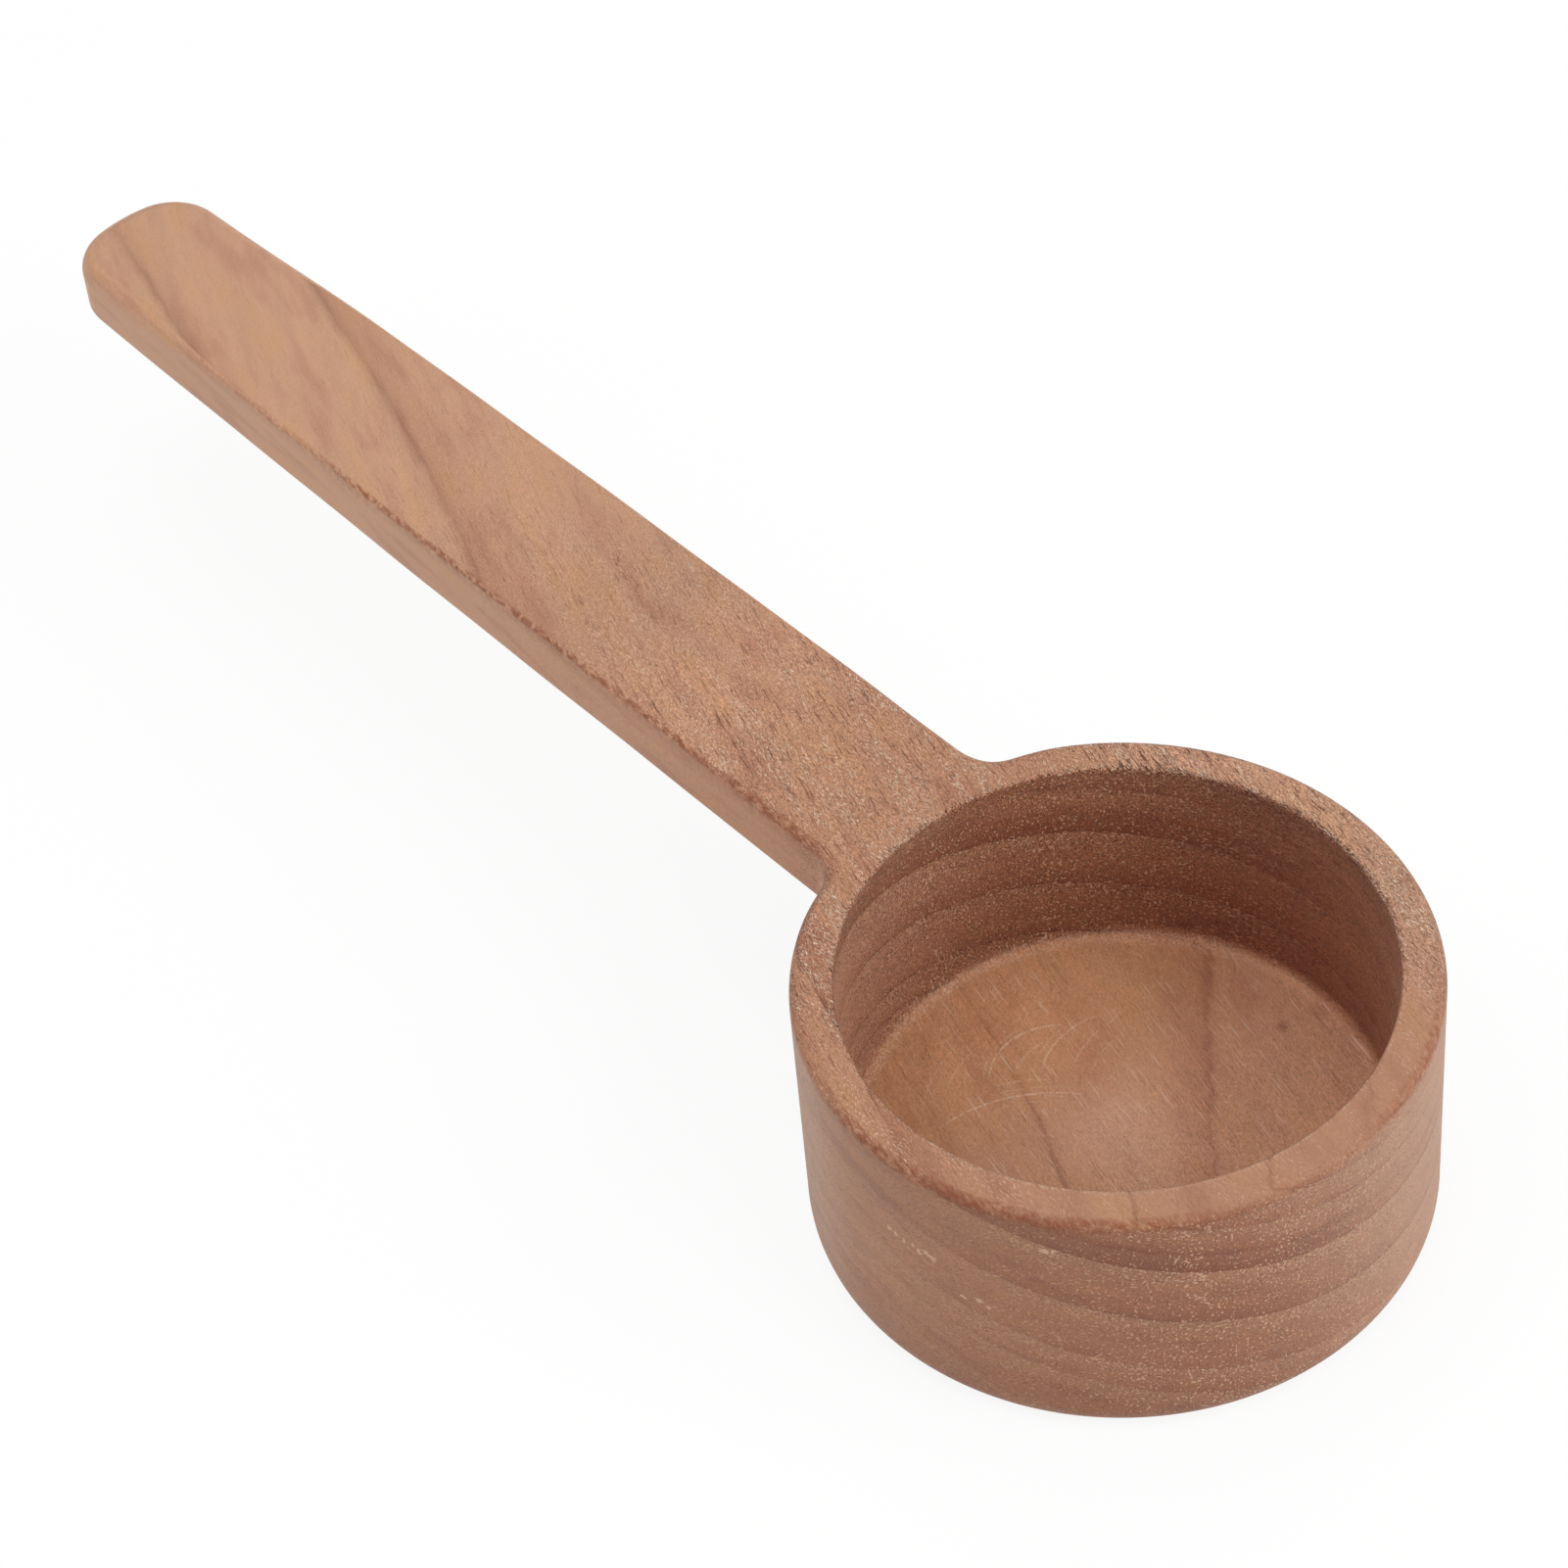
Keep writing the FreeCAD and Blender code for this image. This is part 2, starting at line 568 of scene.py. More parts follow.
    def handle_sheet(self, run: Run, across: Array) -> Sheet:
        """Handle beyond the neck, on lines from its top middle, over its edges, to its bottom middle.

        Args:
            run: the handle's outline.
            across: shares of the way from the middle line to the edge.

        Returns:
            The sheet.
        """
        edge = self.edge_sheet(run, np.full(len(run.point), self.under_edge_radius))
        spine = np.stack([np.minimum(run.point[:, 0], self.spine_end_x), np.zeros(len(run.point))], -1)

        def flat(end: Array) -> Array:
            """Straight run from the middle line to the edge at the edge's own height."""
            plan = spine[:, None] + (end[:, None, :2] - spine[:, None]) * across[None, :-1, None]
            return np.dstack([plan, np.broadcast_to(end[:, 2:], plan.shape[:2])])

        top, bottom = flat(edge.points[:, 0]), flat(edge.points[:, -1])[:, ::-1]
        bare = np.zeros((len(run.point), len(across) - 1))
        return Sheet(
            np.concatenate([top, edge.points, bottom], axis=1), np.hstack([bare, edge.burnish, bare]), False)

    def settled(self, sheet: Sheet) -> Sheet:
        """The sheet with the slight unevenness of hand sanding.

        The handle narrows and thins by long sums of sines in x, and the rim and foot dip by sines of
        the angle about the cup's axis. Points only move inwards.

        Args:
            sheet: a true sheet.

        Returns:
            The uneven sheet.
        """
        x, y, z = np.moveaxis(sheet.points, -1, 0)
        out = smooth_step(x, 28.0, 45.0)
        wave = 0.5 + 0.25 * np.sin(x / 7.3 + 0.6) + 0.25 * np.sin(x / 3.1 + 2.0 + y * 0.2)
        roll = 0.5 + 0.25 * np.sin(x / 11.0 + 1.1 + y * 0.5) + 0.25 * np.sin(x / 4.7 + 0.3 - y * 0.4)
        narrow = y * (1 - self.sag / 7.5 * out * wave)
        high = (z - (self.cup_height - self.handle_thickness)) / self.handle_thickness
        turn = np.arctan2(y, x)
        rim = smooth_step(np.hypot(x, y), 15.0, 22.0) * (1 - out)
        swell = 0.5 + 0.3 * np.sin(3 * turn + 0.7) + 0.2 * np.sin(7 * turn + 2.0)
        lift = smooth_step(z, 12.0, 25.0)
        drop = self.sag * (out * roll * np.clip(high, 0, 1) + rim * swell * lift)
        return Sheet(np.stack([x, narrow, z - drop], -1), sheet.burnish, sheet.closed)

    def build(self) -> bpy.types.Object:
        """Builds the whole skin as one closed mesh.

        The cup's lines and the neck's lines make two closed grids, inside and below; the cup's outline
        and the handle make two open ones. All four share their border points.

        Returns:
            The piece.
        """
        cup, handle = self.cup_run(), self.handle_run()
        across = np.concatenate([np.linspace(0, 0.88, 9), [0.95, 0.985, 1.0]])
        neck_away = np.arcsin((cup.point[0, 1] - self.under_edge_radius) / self.cup_radius)
        root_start = np.argmax(np.hypot(*cup.point.T) < self.cup_radius + 1e-6)
        turns = np.arctan2(cup.point[:, 1], cup.point[:, 0]) % (2 * np.pi)
        strides = np.linalg.norm(np.diff(cup.point[:root_start + 1], axis=0), axis=1)
        length = np.concatenate([[0], np.cumsum(strides)])
        fan = neck_away + (turns[root_start] - neck_away) * (length / length[-1]) ** 1.6
        turns[:root_start + 1] = fan
        turns[-root_start - 1:] = 2 * np.pi - fan[::-1]
        reach = np.linalg.norm(cup.point - self.cup_radius * rays(turns), axis=1)
        reach[root_start:-root_start] = 0
        room = self.under_root_radius + self.under_edge_radius
        under = self.under_edge_radius * np.clip(reach / room, 0, 1)
        edge = self.edge_sheet(cup, under)
        body = self.handle_sheet(handle, across)
        count = len(across)
        neck_top = np.concatenate([body.points[0, count - 2::-1, :2], body.points[-1, 1:count - 1, :2]])
        neck_low = np.concatenate([body.points[0, -count + 1:, :2], body.points[-1, -2:-count:-1, :2]])
        share = np.concatenate([-across[count - 2::-1], across[1:count - 1]])
        loop = np.concatenate([turns, 2 * np.pi + neck_away * share])
        rim = np.concatenate([edge.points[:, 0, :2], neck_top])
        start = np.concatenate([edge.points[:, -1, :2], neck_low])
        under = np.concatenate([under, np.full(len(neck_low), self.under_edge_radius)])
        sheets = [self.inner_lines(loop, rim), edge, self.lower_lines(loop, start, under), body]
        return skin("scoop_carved", [self.settled(sheet) for sheet in sheets])

    def dress(self, piece: bpy.types.Object, finish: "WoodFinish") -> None:
        """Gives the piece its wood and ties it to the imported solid."""
        piece.data.materials.append(finish.build())
        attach(piece, "root")
        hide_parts("scoop")


# Wood


class Op(Enum):
    """Sums that a Math node can do."""

    ADD = "ADD"
    SUBTRACT = "SUBTRACT"
    MULTIPLY = "MULTIPLY"
    DIVIDE = "DIVIDE"
    POWER = "POWER"
    ABSOLUTE = "ABSOLUTE"
    SQUARE_ROOT = "SQRT"


class Curve(Enum):
    """Ways to spread a value over a range."""

    SMOOTH = "SMOOTHSTEP"
    STRAIGHT = "LINEAR"


class Blend(Enum):
    """Ways to put a colour on another: laid over it, or multiplying it."""

    OVER = "MIX"
    TINT = "MULTIPLY"


class Region(Enum):
    """Parts of the spoon's surface, each named as the field of Surface that marks it."""

    FLOOR = "floor"
    INSIDE = "inside"
    OUTER = "outer"
    WALL = "wall"
    RIM = "rim"
    SIDE = "side"
    LEVEL = "level"


class Signal:
    """A number that varies over the surface; sums written with it add Math nodes."""

    def __init__(self, graph: "NodeGraph", socket: Socket) -> None:
        """Wraps an output socket of a graph."""
        self.graph = graph
        self.socket = socket

    def __add__(self, other: "Signal | float") -> "Signal":
        """Sum."""
        return self.graph.math(Op.ADD, self, other)

    __radd__ = __add__

    def __sub__(self, other: "Signal | float") -> "Signal":
        """Difference."""
        return self.graph.math(Op.SUBTRACT, self, other)

    def __rsub__(self, other: "Signal | float") -> "Signal":
        """Difference the other way round."""
        return self.graph.math(Op.SUBTRACT, other, self)

    def __mul__(self, other: "Signal | float") -> "Signal":
        """Product."""
        return self.graph.math(Op.MULTIPLY, self, other)

    __rmul__ = __mul__

    def __truediv__(self, other: "Signal | float") -> "Signal":
        """Quotient."""
        return self.graph.math(Op.DIVIDE, self, other)

    def __abs__(self) -> "Signal":
        """Size without sign."""
        return self.graph.math(Op.ABSOLUTE, self)

    def __pow__(self, power: float) -> "Signal":
        """Power."""
        return self.graph.math(Op.POWER, self, power)

    def root(self) -> "Signal":
        """Square root."""
        return self.graph.math(Op.SQUARE_ROOT, self)

    def band(self, low: float, high: float) -> "Signal":
        """Smooth step from 0 at low to 1 at high, where low may be the larger."""
        return self.graph.spread(self, (low, high), (0.0, 1.0), Curve.SMOOTH)

    def to(self, low: float, high: float) -> "Signal":
        """This value from 0 to 1 spread over another range."""
        return self.graph.spread(self, (0.0, 1.0), (low, high), Curve.STRAIGHT)


class NodeGraph:
    """Short ways to add and join a material's nodes."""

    def __init__(self, tree: bpy.types.NodeTree) -> None:
        """Empties a node tree and keeps it."""
        self.tree = tree
        tree.nodes.clear()

    def add(self, kind: str, **settings: object) -> bpy.types.Node:
        """Adds a node.

        Args:
            kind: the node's type.
            settings: properties to set on it.

        Returns:
            The node.
        """
        node = self.tree.nodes.new(kind)
        for name, value in settings.items():
            setattr(node, name, value)
        return node

    def feed(self, socket: Socket, value: "Signal | Socket | float | tuple") -> None:
        """Links a signal or socket into an input, or sets the input's own value.

        Args:
            socket: the input.
            value: what goes into it.
        """
        if isinstance(value, Signal):
            value = value.socket
        if isinstance(value, bpy.types.NodeSocket):
            self.tree.links.new(value, socket)
        else:
            socket.default_value = value

    def fill(self, node: bpy.types.Node, *values: "Signal | Socket | float | tuple") -> Socket:
        """Feeds a node's inputs.

        Args:
            node: the node.
            values: what goes into its inputs, in order.

        Returns:
            The node's first output.
        """
        for socket, value in zip(node.inputs, values):
            self.feed(socket, value)
        return node.outputs[0]

    def math(self, operation: Op, *values: Signal | float) -> Signal:
        """Result of a sum."""
        return Signal(self, self.fill(self.add("ShaderNodeMath", operation=operation.value), *values))

    def spread(self, value: Signal, old: Span, new: Span, curve: Curve) -> Signal:
        """A value moved from one range to another, and kept within the new one."""
        node = self.add("ShaderNodeMapRange", interpolation_type=curve.value, clamp=True)
        return Signal(self, self.fill(node, value, *old, *new))

    def place(self) -> tuple[Signal, Signal, Signal, Socket]:
        """Where a point of the surface is.

        Returns:
            x, y and z in millimetres, and the surface's outward direction.
        """
        where = self.add("ShaderNodeTexCoord")
        parts = self.add("ShaderNodeSeparateXYZ")
        self.fill(parts, self.scaled(where.outputs["Object"], 1 / MM))
        return *(Signal(self, out) for out in parts.outputs), where.outputs["Normal"]

    def point(self, x: Signal, y: Signal, z: Signal) -> Socket:
        """Three numbers together as a place."""
        return self.fill(self.add("ShaderNodeCombineXYZ"), x, y, z)

    def dot(self, socket: Socket, direction: Triple) -> Signal:
        """How far a direction points along another.

        Args:
            socket: a direction that varies over the surface.
            direction: the other one.

        Returns:
            The cosine of the angle between them.
        """
        node = self.add("ShaderNodeVectorMath", operation="DOT_PRODUCT")
        self.fill(node, socket, direction)
        return Signal(self, node.outputs["Value"])

    def noise(self, where: Socket, detail: float = 2.0, rough: float = 0.5) -> Signal:
        """Smooth noise about 0.5 with features one unit across.

        Args:
            where: the place at which it is read.
            detail: number of finer layers.
            rough: strength of each finer layer.

        Returns:
            The noise.
        """
        node = self.add("ShaderNodeTexNoise", noise_dimensions="3D", normalize=True)
        self.feed(node.inputs["Vector"], where)
        node.inputs["Scale"].default_value = 1.0
        node.inputs["Detail"].default_value = detail
        node.inputs["Roughness"].default_value = rough
        return Signal(self, node.outputs[0])

    def scaled(self, value: Socket, by: Signal | float) -> Socket:
        """A colour or a place times a number, which is the node's fourth input."""
        node = self.add("ShaderNodeVectorMath", operation="SCALE")
        return self.fill(node, value, (0.0, 0.0, 0.0), (0.0, 0.0, 0.0), by)

    def paint(
            self, share: Signal, under: "Socket | tuple", colour: Colour,
            blend: Blend = Blend.OVER) -> Socket:
        """Puts a colour on another.

        Args:
            share: how much of it, from 0 to 1.
            under: the colour underneath.
            colour: the colour on top, as it shows on screen.
            blend: how it is put on.

        Returns:
            The mixed colour.
        """
        node = self.add("ShaderNodeMix", data_type="RGBA", blend_type=blend.value, clamp_factor=True)
        self.feed(node.inputs["Factor"], share)
        self.feed(node.inputs[6], under)
        self.feed(node.inputs[7], linear(*colour))
        return node.outputs[2]

    def seen(self) -> Signal:
        """1 for light that the camera sees, directly or in a reflection or through glass, else 0."""
        path = self.add("ShaderNodeLightPath")
        kinds = ("Is Camera Ray", "Is Glossy Ray", "Is Transmission Ray")
        return sum(Signal(self, path.outputs[kind]) for kind in kinds).band(0.0, 1.0)


@dataclass(frozen=True)
class Surface:
    """Where a point of the wood lies, in millimetres, and what it belongs to.

    Attributes:
        graph: the material's nodes.
        x, y, z: the point.
        along, across: its place along and across the fibres, in plan.
        far: its distance from the cup's axis.
        level: how level the surface is, from 0 to 1.
        end_grain: how square it lies to the fibres, from 0 to 1.
        floor, inside, outer, wall, rim, side: 1 on the cup's floor, in its bore, on its outer wall, on that
            wall without its edges, on what is as high as the rim, and on the handle's sides, else 0.
    """

    graph: NodeGraph
    x: Signal
    y: Signal
    z: Signal
    along: Signal
    across: Signal
    far: Signal
    level: Signal
    end_grain: Signal
    floor: Signal
    inside: Signal
    outer: Signal
    wall: Signal
    rim: Signal
    side: Signal

    @classmethod
    def read(cls, graph: NodeGraph) -> "Surface":
        """Reads the point from Object coordinates.

        The fibres lean by about 15 degrees from the handle's direction, and bend slowly along it.

        Args:
            graph: the material's nodes.

        Returns:
            The surface.
        """
        x, y, z, normal = graph.place()
        level = abs(graph.dot(normal, (0.0, 0.0, 1.0)))
        far = (x * x + y * y).root()
        upright, in_bore = level.band(0.6, 0.3), far.band(22.6, 22.2)
        return cls(
            graph, x, y, z,
            along=0.96 * (x - 0.25 * y),
            across=0.96 * (y + x * (0.249 + 0.00086 * x)),
            far=far,
            level=level,
            end_grain=abs(graph.dot(normal, (0.956, -0.292, 0.0))) ** 1.4,
            floor=z.band(3.0, 4.0) * z.band(6.0, 5.7) * in_bore,
            inside=in_bore * z.band(5.9, 6.8),
            outer=far.band(22.5, 23.0) * upright,
            wall=far.band(24.5, 25.3) * upright,
            rim=z.band(24.3, 24.8),
            side=x.band(22.0, 26.0) * level.band(0.99, 0.93))

    def drawn(self, along: float, across: float, detail: float = 2.0, rough: float = 0.5) -> Signal:
        """Noise drawn out along the fibres, with so many features to a millimetre along and across them."""
        where = self.graph.point(self.along * along, self.across * across, self.z * across)
        return self.graph.noise(where, detail, rough)

    def strewn(self, plan: float, upright: float, detail: float) -> Signal:
        """Noise that ignores the fibres, with so many features to a millimetre in plan and in height."""
        where = self.graph.point(self.x * plan, self.y * plan, self.z * upright)
        return self.graph.noise(where, detail)


@dataclass(frozen=True)
class Tone:
    """A place where the colour differs from the rest, in the wood's own tone or by painted light or shade.

    Attributes:
        region: the part of the spoon.
        amount: the difference where it is full.
        x, y, z, far: pairs of values of each, from where it is nothing to where it is full.
    """

    region: Region
    amount: float
    x: tuple[Span, ...] = ()
    y: tuple[Span, ...] = ()
    z: tuple[Span, ...] = ()
    far: tuple[Span, ...] = ()

    def at(self, here: Surface) -> Signal:
        """The amount, times a smooth step for each pair.

        Args:
            here: the point.

        Returns:
            The difference at the point.
        """
        share = getattr(here, self.region.value) * self.amount
        for value, spans in ((here.x, self.x), (here.y, self.y), (here.z, self.z), (here.far, self.far)):
            for span in spans:
                share = share * value.band(*span)
        return share


@dataclass(frozen=True)
class ToolMark:
    """An arc that the cutter left on the cup's floor.

    Attributes:
        x, y, radius: its circle.
        middle: direction of the arc's middle, in degrees.
        half: half of the angle that it spans, in degrees.
        strength: how pale it is, from 0 to 1.
    """

    x: float
    y: float
    radius: float
    middle: float
    half: float
    strength: float

    def stroke(self, here: Surface) -> Signal:
        """The arc as a thin line: near to the circle's radius, within the angle of its middle direction.

        Args:
            here: the point.

        Returns:
            The arc's strength on the line, and 0 off it.
        """
        aside, ahead = here.x - self.x, here.y - self.y
        far = (aside * aside + ahead * ahead).root()
        turn, edge = np.radians(self.middle), float(np.cos(np.radians(self.half)))
        facing = (aside * float(np.cos(turn)) + ahead * float(np.sin(turn))) / far
        line = abs(far - self.radius).band(0.14, 0.01)
        return line * facing.band(edge - 0.005, edge + 0.05) * self.strength


@dataclass(frozen=True)
class Speck:
    """A small pale pit or chip in the cup's outer wall.

    Attributes:
        azimuth: its direction from the cup's axis, in degrees.
        z: its height.
        wide, tall: half of its width and height.
    """

    azimuth: float
    z: float
    wide: float
    tall: float

    def spot(self, here: Surface, ragged: Signal) -> Signal:
        """The speck as an ellipse on the wall, with an uneven outline.

        Args:
            here: the point.
            ragged: noise about 0 that moves the outline.

        Returns:
            1 inside the speck and 0 outside.
        """
        turn = np.radians(self.azimuth)
        cosine, sine = float(np.cos(turn)), float(np.sin(turn))
        aside = (here.y * cosine - here.x * sine) / self.wide
        above = (here.z - self.z) / self.tall
        front = (here.x * cosine + here.y * sine).band(23.5, 24.5)
        return (aside * aside + above * above + ragged).band(1.4, 0.4) * front


@dataclass(frozen=True)
class Ring:
    """A thin dark line between two growth layers.

    Attributes:
        place: its height in the layer field, in millimetres.
        strength: how dark it is, from 0 to 1.
        dark: how dark the wood is just above it, from 0 to 1.
        fade: how far above it the wood stays dark on an upright wall.
        cup_only: whether the line is left out on the handle.
    """

    place: float
    strength: float
    dark: float
    fade: float
    cup_only: bool = False


@dataclass(frozen=True)
class Layers:
    """What the growth layers show at a point.

    Attributes:
        height: the point's height in the stack of layers, in millimetres.
        line: the thin line between two layers, from 0 to 1 as the next three.
        halo: its soft edge.
        late: dense dark wood just above a line.
        early: open pale wood just below a line.
    """

    height: Signal
    line: Signal
    halo: Signal
    late: Signal
    early: Signal


@dataclass(frozen=True)
class Grain:
    """What the fibres show at a point: values from 0 to 1, apart from fine and relief, which are about 0.

    Attributes:
        strokes: loose fibres that catch the light.
        fine: unevenness between them.
        dots: pores filled with a pale deposit.
        pores: open pores, as dark hairlines along the fibres.
        relief: height of the surface.
    """

    strokes: Signal
    fine: Signal
    dots: Signal
    pores: Signal
    relief: Signal


@dataclass(frozen=True)
class WoodFinish:
    """Bare, fine-sanded, ring-porous brown wood.

    Attributes:
        body: colour of the plain wood as it shows on screen.
        cup_tint, end_tint: colours that multiply it towards the cup and on end grain; towards the cup it is
            partly the wood and partly painted shade, as the tip has more light.
        red_tint, tan_tint: colours that multiply it in reddish and in yellowish patches; red_tint also
            reddens and darkens the foot of the outer wall as painted shade, and the floor beside its second
            line.
        honey_tint: colour that multiplies it on the floor's side by the handle.
        late_tint: colour that multiplies it in the dense wood above a line.
        bore_wood_and_shade_tint: colour that multiplies it on the bore's -Y side, more so lower down: partly
            darker wood, partly painted shade.
        pale: colour that is mixed in where pale_and_sheen_tones says: paler wood, and painted sheen and
            light.
        line, early: colours of the thin lines between layers and of the open wood below them.
        fleck, dot, pore, rubbed: colours of loose fibres, which are partly painted glints, of filled pores,
            open pores and burnished edges; fleck also paints the floor's marks and the painted highlight in
            its corner.
        tones_and_shading: where the wood is lighter or darker, in its own tone or by painted light and
            shade.
        pale_and_sheen_tones: where it is paler and greyer, in part as painted sheen and light.
        rings: the lines between layers.
        marks: arcs on the floor.
        specks: pits in the outer wall.
    """

    body: Colour = (202, 155, 125)
    cup_tint: Colour = (236, 222, 213)
    end_tint: Colour = (220, 200, 188)
    red_tint: Colour = (238, 224, 222)
    tan_tint: Colour = (255, 252, 236)
    honey_tint: Colour = (255, 252, 238)
    late_tint: Colour = (208, 178, 166)
    bore_wood_and_shade_tint: Colour = (200, 172, 158)
    pale: Colour = (206, 170, 144)
    line: Colour = (112, 58, 38)
    early: Colour = (206, 166, 132)
    fleck: Colour = (240, 212, 188)
    dot: Colour = (228, 188, 156)
    pore: Colour = (108, 58, 38)
    rubbed: Colour = (136, 66, 36)
    tones_and_shading: tuple[Tone, ...] = (
        # Painted light: the handle's sides lighter.
        Tone(Region.SIDE, 0.12),
        # Painted shade: the front of the rim darker.
        Tone(Region.RIM, -0.09, x=((8.0, -12.0),)),
        Tone(Region.RIM, 0.08, y=((-10.0, -18.0),)),
        # Painted shade and light at the foot of the outer wall: darker on its +Y side, lighter on its -Y
        # side.
        Tone(Region.OUTER, -0.06, z=((8.0, 3.0),)),
        Tone(Region.OUTER, 0.12, y=((18.0, -4.0),), z=((8.0, 3.0),)),
        Tone(Region.OUTER, 0.06, y=((13.0, 8.0), (0.0, 5.0)), z=((17.5, 19.5),)),
        Tone(Region.OUTER, -0.05, y=((10.0, 16.0),), z=((17.5, 19.5),)),
        # Painted light: the floor lighter, most on its -Y side under the -Y wall's shade.
        Tone(Region.FLOOR, 0.02),
        Tone(Region.FLOOR, 0.21, y=((14.0, -6.0),)),
        Tone(Region.FLOOR, -0.05, x=((1.0, 8.0), (16.0, 12.0))),
        Tone(Region.FLOOR, 0.06, x=((6.0, 14.0),)),
        Tone(Region.FLOOR, -0.05, x=((8.0, 3.0), (-9.0, -3.0)), y=((4.0, 9.0),)),
        # Painted light and shade in the bore: lighter overall, darker low down on the -Y side, in a band
        # under the mouth, and high on the -Y wall.
        Tone(Region.INSIDE, 0.16),
        Tone(Region.INSIDE, -0.12, y=((5.0, -6.0),), z=((14.0, 7.0),)),
        Tone(Region.INSIDE, -0.14, z=((21.5, 23.8),)),
        Tone(Region.INSIDE, -0.09, y=((-17.0, -21.0),), z=((16.0, 19.0),)),
        Tone(Region.LEVEL, 0.1, x=((36.0, 45.0), (54.0, 46.0))),
        Tone(Region.LEVEL, -0.07, x=((52.0, 59.0), (69.0, 62.0))),
    )
    pale_and_sheen_tones: tuple[Tone, ...] = (
        # Painted sheen: the outer wall paler and greyer towards -Y.
        Tone(Region.WALL, 0.4, y=((12.0, -8.0),)),
        Tone(Region.FLOOR, 0.04),
        # Painted sheen: the middle of the floor paler.
        Tone(Region.FLOOR, 0.25, far=((9.0, 1.0),)),
        Tone(Region.RIM, 0.08, x=((-8.0, -16.0),)),
        Tone(Region.RIM, 0.18, y=((-12.0, -20.0),)),
        # Painted sheen: the outer wall paler on its +Y side by the handle.
        Tone(Region.OUTER, 0.45, x=((2.0, 10.0),), y=((15.0, 20.0),)),
        # Painted light: the bore's wall paler towards +Y.
        Tone(Region.INSIDE, 0.16, y=((-8.0, 8.0),)),
    )
    rings: tuple[Ring, ...] = (
        Ring(-4.4, 0.4, 0.2, 2.5), Ring(-0.6, 0.4, 0.2, 2.5), Ring(4.15, 0.85, 0.15, 1.5),
        Ring(7.05, 0.8, 0.25, 2.0), Ring(12.88, 0.9, 0.5, 2.8), Ring(18.89, 0.9, 0.9, 4.2),
        Ring(20.8, 0.35, 0.25, 1.0, True), Ring(23.9, 0.5, 0.3, 1.2, True),
        Ring(26.75, 0.45, 0.3, 1.0, True), Ring(28.4, 0.3, 0.2, 1.0, True),
    )
    marks: tuple[ToolMark, ...] = (
        ToolMark(7.85, -0.54, 5.69, 0.0, 46.0, 0.7), ToolMark(7.85, -0.54, 6.15, 18.0, 30.0, 0.3),
        ToolMark(3.39, -4.74, 7.61, 7.0, 32.0, 0.6), ToolMark(3.39, -4.74, 8.2, 12.0, 26.0, 0.3),
        ToolMark(0.77, -6.91, 8.53, 12.0, 24.0, 0.45), ToolMark(0.77, -6.91, 6.9, 14.0, 26.0, 0.3),
        ToolMark(-2.66, 10.16, 13.35, -28.0, 28.0, 0.6), ToolMark(2.47, 7.01, 8.87, -39.0, 22.0, 0.4),
        ToolMark(-3.1, 10.6, 14.6, -36.0, 16.0, 0.35), ToolMark(1.9, 7.4, 7.9, -42.0, 18.0, 0.35),
        ToolMark(-1.6, 9.4, 11.2, -30.0, 16.0, 0.3), ToolMark(5.0, -1.5, 6.6, 8.0, 24.0, 0.35),
        ToolMark(4.0, 1.0, 11.0, 20.0, 18.0, 0.3), ToolMark(2.0, 0.5, 14.5, 22.0, 16.0, 0.3),
    )
    specks: tuple[Speck, ...] = (
        Speck(124.2, 21.4, 0.42, 0.24), Speck(125.6, 21.6, 0.22, 0.14), Speck(102.6, 16.1, 0.34, 0.34),
        Speck(101.2, 16.3, 0.3, 0.3), Speck(99.8, 16.0, 0.26, 0.26), Speck(98.3, 16.3, 0.2, 0.24),
        Speck(96.4, 16.2, 0.24, 0.26), Speck(94.6, 16.4, 0.22, 0.26), Speck(93.0, 16.5, 0.26, 0.26),
        Speck(111.5, 13.4, 0.36, 0.24), Speck(108.6, 13.1, 0.3, 0.2), Speck(113.4, 13.0, 0.3, 0.2),
    )

    def build(self) -> bpy.types.Material:
        """Builds the wood from the growth layers, the fibre direction and the wear on the edges.

        Returns:
            The material.
        """
        material = bpy.data.materials.new("carved_wood")
        material.use_nodes = True
        graph = NodeGraph(material.node_tree)
        here = Surface.read(graph)
        layers = self.layers(here)
        grain = self.fibres(here, layers)
        crisp = self.crispness(here)
        streak = here.drawn(0.05, 0.6, 3.0, 0.6) - 0.5
        patch = graph.noise(graph.point(here.along * 0.1, here.across * 0.22, layers.height * 0.8))
        colour = self.plain(here, layers, patch)
        colour = self.ringed(here, layers, colour)
        colour = graph.scaled(colour, self.brightness(here, streak, patch) * (1.0 + grain.fine * crisp))
        colour = self.flecked(here, grain, crisp, colour)
        colour = self.marked(here, colour)
        self.shade(graph, colour, grain.relief * crisp, streak)
        return material

    # Patterns

    def layer_height(self, here: Surface) -> Signal:
        """Height of a point in the stack of growth layers.

        It is z less a slope and bend in x and y, one for the cup and one for the handle with a smooth
        passage between them, plus slow and quick noise that makes each layer wander. The floor's second
        line has a small slope of its own.

        Args:
            here: the point.

        Returns:
            The height in millimetres.
        """
        x, y = here.x, here.y
        outward = x.band(25.0, 75.0)
        cup = x * (0.1008 + 0.00164 * y - 0.00097 * x) + y * (0.1913 + 0.00288 * y)
        out = x - 91.2
        handle = 6.11 + 0.445 * y + out * (0.147 - 0.00058 * out)
        slow, quick = here.drawn(0.03, 0.1, 1.0) - 0.5, here.drawn(0.25, 1.1) - 0.5
        height = here.z - (cup + (handle - cup) * outward) + slow * (0.2 + 0.3 * outward) + quick * 0.28
        return height - here.floor * height.band(4.6, 6.6) * (0.037 * here.along - 0.01)

